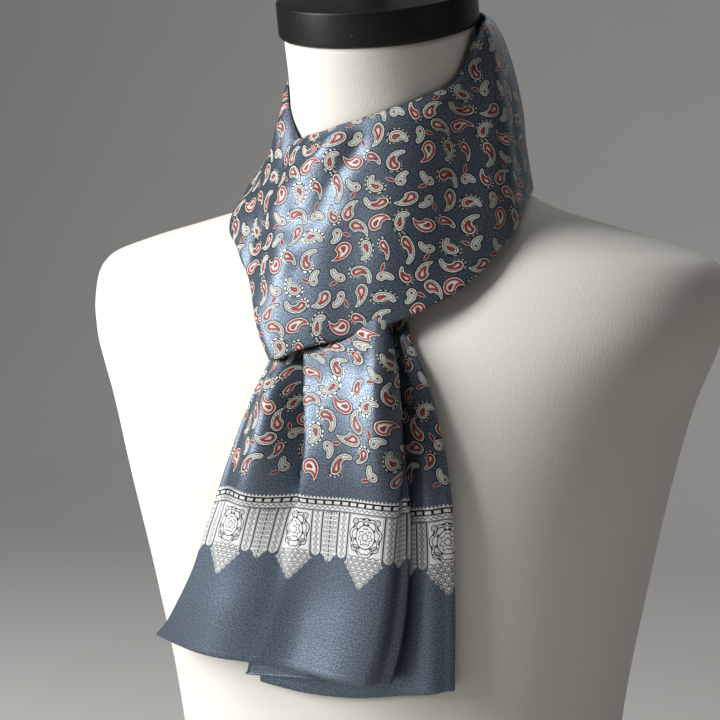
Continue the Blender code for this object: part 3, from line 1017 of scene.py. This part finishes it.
front_end, front_area, front_length = hang(FRONT)
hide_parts("scarf_tail_front")
rear_end, rear_area, rear_length = hang(REAR)
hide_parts("scarf_tail_rear")

# %% [markdown]
# ## The printed silk
# The cloth is a slate-blue satin twill with a tossed paisley print: teardrops with a
# bent tip, cream with fine black outlines and red hearts. It repeats every 8 cm across
# the band and every 6 cm along it.
# Above each hem a white lace-like border is printed: rows of beads, dashes and waves,
# then hanging panels with rounded and pointed ends.
#
# A picture of it would be blurred close up. Instead every motif is drawn by distance: a
# teardrop is a circle that shrinks while its centre moves along a bent stem. The depth
# inside its outline then picks the colour, ring by ring.
#
# Two square lattices of cells, one between the other, hold one motif each per cell. A
# short chart gives each cell's motif its kind, turn and shift.

# %% Chart of the motifs
CELL = 20.5  # millimetres
ACROSS = 4  # cells in a repeat across the band
ALONG = 3  # and along it

# sizes in millimetres: radii of the round end and of the tip, length of the stem
# between them and the radius that the stem is bent to; then its marks: a red ring or
# none, the share of the stem with beads outside it, the heart's size, a leaf or none
Kind = namedtuple("Kind", "base tip stem bend red_ring beads heart leaf")
KINDS = {
    "ringed": Kind(5.0, 0.8, 11.4, 7.4, 1.0, 0.0, 0.20, 0.0),
    "drop": Kind(4.7, 0.9, 10.7, 8.2, 0.0, 0.0, 0.46, 0.0),
    "hooked": Kind(3.8, 1.8, 13.1, 5.8, 0.0, 0.1, 0.46, 0.0),
    "fringed": Kind(4.1, 1.7, 8.6, 4.6, 0.0, 1.0, 0.28, 0.0),
    "comma": Kind(3.2, 2.1, 7.0, 5.4, 0.0, 0.0, 0.02, 1.0),
    "bud": Kind(3.4, 1.4, 7.6, 5.4, 0.0, 0.1, 0.54, 0.0),
}

Motif = namedtuple("Motif", "kind turn right up")
FIRST_CHART = [
    Motif("ringed", 250, 0.8, -1.2),
    Motif("hooked", 20, -0.9, 2.1),
    Motif("comma", 75, -0.6, 0.9),
    Motif("drop", 335, -0.4, -0.4),
    Motif("fringed", 200, 0.3, 0.8),
    Motif("drop", 118, 0.9, -1.9),
    Motif("comma", 330, 1.0, 0.0),
    Motif("hooked", 170, 1.0, -0.4),
    Motif("drop", 283, 0.0, 1.4),
    Motif("ringed", 92, -1.3, -0.8),
    Motif("fringed", 350, -0.8, 0.5),
    Motif("comma", 215, 0.6, -0.4),
]
SECOND_CHART = [
    Motif("comma", 310, 0.8, 0.8),
    Motif("fringed", 140, -1.3, -0.7),
    Motif("bud", 15, -0.6, 0.6),
    Motif("hooked", 80, 0.0, 0.2),
    Motif("bud", 45, -0.8, -0.5),
    Motif("comma", 230, -0.7, 0.8),
    Motif("bud", 190, 0.6, -1.4),
    Motif("fringed", 75, -0.6, 1.2),
    Motif("comma", 150, -0.4, 0.4),
    Motif("hooked", 262, 0.0, -1.4),
    Motif("drop", 25, -0.1, 0.2),
    Motif("ringed", 320, -0.4, -0.4),
]

INK = (0.012, 0.013, 0.016)
CREAM = (0.66, 0.66, 0.58)
GREY = (0.24, 0.245, 0.23)
RED = (0.31, 0.006, 0.004)
SLATE = (0.106, 0.132, 0.170)
LACE = (0.86, 0.86, 0.84)
MIDDLE = 0.42  # a motif is centred this far along the line from its round end to its tip
TURN_SCALE = 5  # sines and cosines are kept in the ramps this much larger


def motif_place(motif):
    """Where a motif's round end lies in its cell, and the cosine and sine of its turn."""
    kind = KINDS[motif.kind]
    arc = kind.stem / kind.bend
    tip_x = kind.bend * (1 - math.cos(arc))
    tip_y = kind.bend * math.sin(arc)
    turn = math.radians(motif.turn)
    cosine, sine = math.cos(turn), math.sin(turn)
    right = motif.right - MIDDLE * (tip_x * cosine - tip_y * sine)
    up = motif.up - MIDDLE * (tip_x * sine + tip_y * cosine)
    return right, up, cosine * TURN_SCALE, sine * TURN_SCALE


def look_up(finish, index, values, lowest, highest):
    """Four wires with the numbers of one cell of a table, kept in a ramp without blending."""
    span = highest - lowest
    stops = [
        (k / len(values), tuple((number - lowest) / span for number in row))
        for k, row in enumerate(values)
    ]
    settings = {"stops": stops, "interpolation": "CONSTANT"}
    ramp = finish.node("ShaderNodeValToRGB", settings, {"Fac": (index + 0.5) / len(values)})
    colours = finish.node("ShaderNodeSeparateColor", {}, {0: ramp}).socket.node.outputs
    wires = [Wire(finish, colours[k]) for k in range(3)]
    wires.append(Wire(finish, ramp.socket.node.outputs["Alpha"]))
    return [wire.maths("MULTIPLY_ADD", span, lowest) for wire in wires]


# %% Drawing one motif in each cell
EDGE = 0.12  # millimetres over which a printed edge turns from one colour to the next
LEAF_PLACE = (-4.3, 3.6)  # millimetres from the middle of a motif's round end


def stroke(distance, half_width):
    """1 on a line where a distance is zero, and 0 beside it."""
    return past(half_width - distance.maths("ABSOLUTE"), 0.0, EDGE)


def ring(depth, start, end):
    """1 between two depths inside an outline."""
    return past(depth, start, EDGE) * past(end - depth, 0.0, EDGE)


def teardrop(x, y, base, tip, stem, bend):
    """A circle that shrinks along a stem bent to an arc: depth inside its outline, in millimetres,
    the share along the stem, and the place measured from the circle's centre there."""
    beside = bend - x
    off = bend - length(beside, y)
    run = y.maths("ARCTAN2", beside) * bend
    along = clamp(run / stem)
    ahead = run - stem * along
    radius = base + (tip - base) * along
    return radius - length(off, ahead), along, off, ahead


def paisleys(finish, x, y, chart, first_row, ground):
    """Print one lattice of motifs over a ground colour; x and y are in cells, and none are
    printed below a row. Also gives 1 where there is ink. The numbers beside a depth are
    millimetres inside a motif's outline, or outside it where they are below 0."""
    column = x.maths("FLOOR")
    row = y.maths("FLOOR")
    index = column.maths("FLOORED_MODULO", ACROSS) + row.maths("FLOORED_MODULO", ALONG) * ACROSS
    places = [motif_place(motif) for motif in chart]
    place_x, place_y, cosine, sine = look_up(finish, index, places, -10.0, 10.0)
    shapes = [KINDS[motif.kind][0:4] for motif in chart]
    base, tip, stem, bend = look_up(finish, index, shapes, 0.0, 15.0)
    marks = [KINDS[motif.kind][4:8] for motif in chart]
    red_ring, beads, heart_size, leaf = look_up(finish, index, marks, 0.0, 1.0)

    from_x = (x - column - 0.5) * CELL - place_x
    from_y = (y - row - 0.5) * CELL - place_y
    turned_x = (from_x * cosine + from_y * sine) * (1 / TURN_SCALE)
    turned_y = (from_y * cosine - from_x * sine) * (1 / TURN_SCALE)
    depth, along, off, ahead = teardrop(turned_x, turned_y, base, tip, stem, bend)

    plain = 1 - red_ring
    angle = ahead.maths("ARCTAN2", off)
    ripple = (angle * 13.0 + along * 34.0).maths("SINE")
    heart, _, _, _ = teardrop(
        turned_x, turned_y + base * 0.1, base * heart_size, tip * 0.25, stem * heart_size * 1.15, bend
    )

    shade = finish.blend(past(depth, 0.40, EDGE), INK, CREAM)
    inside = past(depth + ripple * 0.14, 1.35, 0.2)
    shade = finish.blend(inside * plain * 0.70, shade, GREY)
    shade = finish.blend(ring(depth + ripple * 0.12, 0.98, 1.36) * plain, shade, INK)
    shade = finish.blend(ring(depth, 1.7, 2.3) * past(ripple, -0.3, 0.6) * plain, shade, CREAM)
    shade = finish.blend(ring(depth, 0.85, 2.05) * red_ring, shade, RED)
    shade = finish.blend(ring(depth + ripple * 0.15, 2.15, 2.45) * red_ring, shade, INK)
    shade = finish.blend(past(heart, -0.48, EDGE), shade, INK)
    shade = finish.blend(past(heart, -0.12, EDGE), shade, RED)
    shade = finish.blend(past(heart, 1.0, 0.2) * 0.8, shade, CREAM)

    around = finish.blend(ring(depth, -0.38, 0.1) * 0.8, ground, INK)
    beaded = past(beads - along, 0.05, 0.04)
    bead = past(ripple, -0.1, 0.5) * ring(depth, -1.15, -0.32)
    printed = finish.blend(ring(depth, -1.4, 0.1) * beaded * 0.75, around, INK)
    printed = finish.blend(bead * beaded, printed, CREAM)
    printed = finish.blend(past(depth, 0.0, EDGE), printed, shade)

    leaf_x = turned_x - LEAF_PLACE[0]
    leaf_y = turned_y - LEAF_PLACE[1]
    side = (leaf_x * 0.8 + leaf_y * 0.6).maths("ABSOLUTE")
    reach = (leaf_y * 0.8 - leaf_x * 0.6).maths("ABSOLUTE")
    leaf_depth = 1.9 - side * 1.25 - reach * reach * 0.15
    leaf_shade = finish.blend(past(leaf_depth, 0.30, EDGE), INK, CREAM)
    leaf_shade = finish.blend(past(leaf_depth, 0.62, EDGE), leaf_shade, RED)
    leaf_shade = finish.blend(stroke(side, 0.18) * past(leaf_depth, 0.6, EDGE), leaf_shade, INK)
    leaf_inside = past(leaf_depth, 0.0, EDGE) * leaf
    printed = finish.blend(leaf_inside, printed, leaf_shade)
    shown = past(row, first_row - 0.5, 0.5)
    inked = greater(past(depth, 0.0, EDGE), leaf_inside) * shown
    return finish.blend(shown, ground, printed), inked


# %% The lace border
PITCH = 53.0  # millimetres from one large panel to the next
LACE_TOP = 120.0  # above the hem
PANELS_FROM = 9.6  # below the lace's top

Panel = namedtuple("Panel", "centre half straight slope")
LARGE = Panel(0.0, 12.6, 42.0, 0.80)
NARROW = Panel(16.6, 3.6, 36.5, 1.0)
MEDIUM = Panel(PITCH / 2, 5.8, 37.5, 0.9)

# millimetres; swing: how far a ring of the rosette waves in and out with its petals
LINE = 0.32  # half the width of a drawn line
FINE_LINE = 0.20
ROSETTE_DOWN = 24.0
PETALS = 8
RosetteRing = namedtuple("RosetteRing", "radius swing")
ROSETTE = [
    RosetteRing(2.0, 0.35),
    RosetteRing(4.3, 0.7),
    RosetteRing(6.6, 0.0),
    RosetteRing(9.2, -0.6),
]
Scroll = namedtuple("Scroll", "side down radius inner")
SCROLLS = [Scroll(7.9, 14.0, 1.9, 0.9), Scroll(7.4, 31.5, 2.1, 1.0)]
SCROLL_ROOM = 0.3  # the rosette's outermost ring stops this far from a scroll
SCALES_FROM = 36.5
SCALE_RISE = 3.2
SCALE_WIDTH = 4.4


def pointed(side, down, panel, step):
    """Depth inside a panel that hangs straight and then steps in to a point."""
    half = panel.half - greater(down - panel.straight, 0.0) * panel.slope
    return (half + step * past(down, panel.straight - 1.0, 2.0) - side) * 0.85


def lace(finish, across, above_hem, ground):
    """Print the border; across and above_hem are in millimetres. Also gives 1 where it is."""
    side = ((across / PITCH).maths("FRACT") - 0.5).maths("ABSOLUTE") * PITCH
    down = LACE_TOP - above_hem

    step = (down * 0.86).maths("SINE").maths("ABSOLUTE") * 1.7
    large = pointed(side, down, LARGE, step)
    narrow_side = (side - NARROW.centre).maths("ABSOLUTE")
    narrow = NARROW.half - length(narrow_side, greater(down - NARROW.straight, 0.0))
    medium_side = MEDIUM.centre - side
    medium = pointed(medium_side, down, MEDIUM, step * 0.6)
    inside = lesser(greater(greater(large, narrow), medium), down - PANELS_FROM)

    # large panels: a rosette in rings and petals with scrolls round it, then rows of scales
    rosette_y = (down - ROSETTE_DOWN) * 0.86
    out = length(side, rosette_y)
    petals = (rosette_y.maths("ARCTAN2", side) * PETALS).maths("SINE")
    drawn = past(petals, 0.55, 0.2) * ring(out, 6.9, 7.9)
    for radius, swing in ROSETTE:
        drawn = drawn + stroke(out - radius - petals * swing, LINE)
    outermost = past(petals, 0.5, 0.3) * ring(out, 9.5, 10.4)
    outermost = outermost + stroke(out - 10.9 + petals * 0.5, LINE)
    for scroll in SCROLLS:
        from_scroll = length(side - scroll.side, down - scroll.down)
        outermost = outermost * past(from_scroll, scroll.radius + SCROLL_ROOM, EDGE)
        drawn = drawn + stroke(from_scroll - scroll.radius, LINE)
        drawn = drawn + stroke(from_scroll - scroll.inner, FINE_LINE)
    drawn = (drawn + outermost) * past(SCALES_FROM - down, 0.0, 0.5)
    scale_row = (down / SCALE_RISE).maths("FLOOR")
    scale_x = ((side / SCALE_WIDTH + scale_row * 0.5).maths("FRACT") - 0.5) * SCALE_WIDTH
    scale_y = down - scale_row * SCALE_RISE
    scale = length(scale_x, scale_y * 0.8)
    scales = stroke(scale - 2.1, 0.30) + stroke(scale - 1.0, 0.28)
    drawn = drawn + scales * past(down, SCALES_FROM, 0.5)
    drawn = drawn * past(large, 0.9, EDGE)

    # narrow panels: a chain of small lozenges; medium ones: two rows of them and dots
    link = (((down * 0.26).maths("FRACT") - 0.5).maths("ABSOLUTE") * 3.9 + narrow_side * 1.1) - 1.9
    chain = (stroke(link, LINE) + stroke(link + 1.2, FINE_LINE)) * past(narrow, 1.2, EDGE)
    bud = length(medium_side - 2.1, ((down * 0.32).maths("FRACT") - 0.5) * 5.8)
    buds = stroke(bud - 1.9, LINE) + past(0.7 - bud, 0.0, EDGE) + stroke(medium_side, FINE_LINE)
    drawn = drawn + chain + buds * past(medium, 1.0, EDGE)
    net = (side * 5.2 + down * 3.0).maths("SINE") * (side * 5.2 - down * 3.0).maths("SINE")
    drawn = drawn + past(net, 0.15, 0.5) * past(inside, 1.3, EDGE) * 0.24

    outline = past(0.36 - inside, 0.0, EDGE) + ring(inside, 0.75, 1.0)
    panels = finish.blend(clamp(drawn * 0.95 + outline), LACE, INK)
    printed = finish.blend(past(inside, 0.0, EDGE), ground, panels)

    # rows above the panels: beads, a dark band with dashes, and a wave between two rails
    bead = (across * 2.5).maths("SINE") * 0.7 + 0.75 - (1.5 - down)
    beads = past(lesser(bead, 1.9 - down), 0.0, 0.32) * past(down, -0.6, EDGE)
    dashes = past((across * 1.05).maths("SINE"), -0.62, 0.32) * stroke(down - 4.0, 1.0)
    wave = stroke(down - 7.5 - (across * 1.7).maths("SINE") * 0.65, 0.30)
    white = dashes + ring(down, 5.75, 9.3) - wave - stroke(down - 9.0, 0.12) - stroke(down - 6.1, 0.12)
    rows = finish.blend(clamp(white), INK, LACE)
    printed = finish.blend(ring(down, 1.7, 9.6), printed, rows)
    return finish.blend(beads, printed, LACE), past(inside, 0.0, EDGE)


# %% The silk finish
PAISLEY_FROM = 6  # rows of cells above the hem where the paisleys start
PRINT_RISE = 4.0  # millimetres that the lattices are moved up from the hem
EVERYWHERE = -100  # a first row below all cloth, for a stretch without a border
HEM_STITCH = 5.0
MILLIMETRES = 1000.0  # in a metre
GRAIN_SCALE = 1050.0


def silk_finish(name, shift, with_border):
    """Printed satin; shift moves the print on the band, in millimetres. Only the bare ground
    has the full shine of the threads, because the opaque inks dull it."""
    finish = Finish(
        name,
        IOR=1.5,
        Specular_Tint=(0.78, 0.89, 1.0, 1.0),
        Sheen_Weight=0.06,
        Sheen_Roughness=0.40,
        Sheen_Tint=(0.75, 0.82, 1.0, 1.0),
    )
    uv = finish.node("ShaderNodeUVMap", {}, {})
    u, v, _ = finish.split(uv)
    across = u * MILLIMETRES + shift[0]
    above = v * MILLIMETRES + shift[1]

    grain = past(finish.noise(uv, GRAIN_SCALE, detail=1.0), 0.5, 0.36)
    drift = finish.noise(uv, 30.0, detail=2.0)
    ground = finish.blend(grain, tuple(c * 0.50 for c in SLATE), tuple(c * 1.50 for c in SLATE))
    ground = finish.blend(drift * 0.25, ground, tuple(c * 1.2 for c in SLATE))

    wobble_x = (above * 0.115).maths("SINE") * 2.0
    wobble_y = (across * 0.098).maths("SINE") * 2.0
    x = (across + wobble_x) / CELL
    y = (above + wobble_y - PRINT_RISE) / CELL
    first_row = PAISLEY_FROM if with_border else EVERYWHERE
    printed, inked = paisleys(finish, x, y, FIRST_CHART, first_row, ground)
    printed, more = paisleys(finish, x + 0.5, y + 0.5, SECOND_CHART, first_row + 1, printed)
    inked = greater(inked, more)
    if with_border:
        printed, more = lace(finish, across, above, printed)
        inked = greater(inked, more)
    finish.set("Base Color", finish.blend((1 - grain) * 0.30, printed, INK))
    finish.set("Metallic", (1 - inked) * 0.72)
    finish.set("Roughness", inked * 0.18 + 0.40)

    threads = ((across + above) * 9.0).maths("SINE") * 0.3 + grain
    if with_border:
        dash = past((across * 3.0).maths("SINE"), -0.2, 0.4)
        line = past(0.35 - (above - HEM_STITCH).maths("ABSOLUTE"), 0.0, 0.3) * dash
        threads = threads - line * 3.0
    finish.bump(threads, 0.35, 0.00012)
    return finish.material


LOOP_SHIFT = (0.0, 0.0)
FRONT_SHIFT = (2.0, 0.0)
REAR_SHIFT = (6.0, 0.0)
loop.data.materials.append(silk_finish("silk_loop", LOOP_SHIFT, False))
front_end.data.materials.append(silk_finish("silk_front_end", FRONT_SHIFT, True))
rear_end.data.materials.append(silk_finish("silk_rear_end", REAR_SHIFT, True))
print("silk finishes:", [m.name for m in bpy.data.materials if m.name.startswith("silk_")])

# %% [markdown]
# ## Finishes of the form
# The cover is fine ivory jersey, almost white in this light. Its knit only shows as a
# faint grain. The cap is turned wood under matt black paint that has picked up a few
# specks, and the board below is stained black.


# %% Ivory cover, black cap and board
def cover_finish():
    finish = Finish("ivory_cover", Roughness=0.75, Sheen_Weight=0.15, Sheen_Roughness=0.5)
    place = finish.node("ShaderNodeTexCoord", {}, {}, out=3)
    knit = finish.noise(place, 900.0, detail=1.0)
    cloud = finish.noise(place, 9.0, detail=2.0)
    shade = finish.blend(cloud, (0.61, 0.585, 0.53), (0.66, 0.64, 0.585))
    shade = finish.blend(knit * 0.16, shade, (0.58, 0.545, 0.475))
    finish.set("Base Color", shade)
    finish.bump(knit, 0.5, 0.0003)
    return finish.material


def black_finish(name, roughness, speck):
    finish = Finish(name, Specular_IOR_Level=0.22)
    place = finish.node("ShaderNodeTexCoord", {}, {}, out=3)
    grain = finish.noise(place, 420.0, detail=3.0)
    specks = finish.noise(place, 420.0, detail=0.0)
    shade = finish.blend(grain, (0.004, 0.0035, 0.003), (0.010, 0.0085, 0.008))
    shade = finish.blend(past(specks, speck, 0.03), shade, (0.10, 0.09, 0.08))
    finish.set("Base Color", shade)
    finish.set("Roughness", grain * 0.2 + roughness)
    finish.bump(grain, 0.2, 0.0004)
    return finish.material


def floor_finish():
    finish = Finish("pale_floor", Roughness=0.9)
    place = finish.node("ShaderNodeTexCoord", {}, {}, out=3)
    cloud = finish.noise(place, 3.0, detail=3.0)
    finish.set("Base Color", finish.blend(cloud, (0.50, 0.49, 0.475), (0.54, 0.53, 0.515)))
    return finish.material


def paint(made, material):
    """Give a piece or a carried-over node one finish in all its slots."""
    if not made.data.materials:
        made.data.materials.append(material)
    for k in range(len(made.data.materials)):
        made.data.materials[k] = material
    for material_slot in made.material_slots:
        material_slot.material = material


paint(skin, cover_finish())
black_cap = black_finish("black_cap", 0.30, 0.86)
black_board = black_finish("black_board", 0.45, 0.90)
paint(cap, black_cap)
paint(knob, black_cap)
paint(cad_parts["form_base"], black_board)
paint(floor, floor_finish())
print("finishes:", len(bpy.data.materials))

# %% [markdown]
# ## The flat size of each stretch
# The loop is as wide as the folded band, and an end is as long as it measures. The other
# side of each follows from its area.

BAND_WIDTH = 0.15
loop_area / BAND_WIDTH
front_area / front_length
rear_area / rear_length
